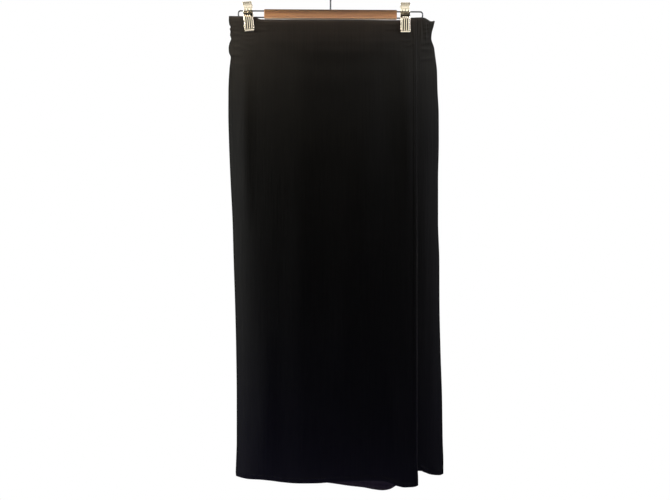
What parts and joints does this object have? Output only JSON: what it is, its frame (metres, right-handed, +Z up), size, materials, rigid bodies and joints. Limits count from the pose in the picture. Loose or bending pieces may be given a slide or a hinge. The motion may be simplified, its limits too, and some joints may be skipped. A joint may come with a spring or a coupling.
{
  "type": "maxi skirt on a clip hanger",
  "caption": "Long straight black skirt with a wrap front and a gathered elastic back waist, clipped to a wooden hanger with wire ends and a steel hook.",
  "frame": {"origin": "the highest point inside the hanger's hook, where a rail or nail carries it; the whole part hangs below it", "axes": "+Z up along the hanging skirt, +X to the right of someone who faces the front, -Y out of the skirt's front"},
  "size_m": [0.4502, 0.067, 1.0922],
  "materials": {
    "crepe": "matt black polyester crepe with a faint sheen",
    "elastic_casing": "the same black crepe, gathered over elastic",
    "wood": "satin lacquered beech",
    "wire": "drawn steel wire",
    "nickel": "bright nickel plated stamped steel"
  },
  "bodies": {
    "root": {"front_wrap_panel": "crepe", "front_underlap_panel": "crepe", "back_panel": "crepe", "back_waistband": "elastic_casing", "hanger_bar": "wood", "wire_loop_left": "wire", "wire_loop_right": "wire", "hanger_hook": "wire", "clip_left_front_jaw": "nickel", "clip_left_back_jaw": "nickel", "clip_left_spring": "wire", "clip_right_front_jaw": "nickel", "clip_right_back_jaw": "nickel", "clip_right_spring": "wire"}
  },
  "joints": []
}
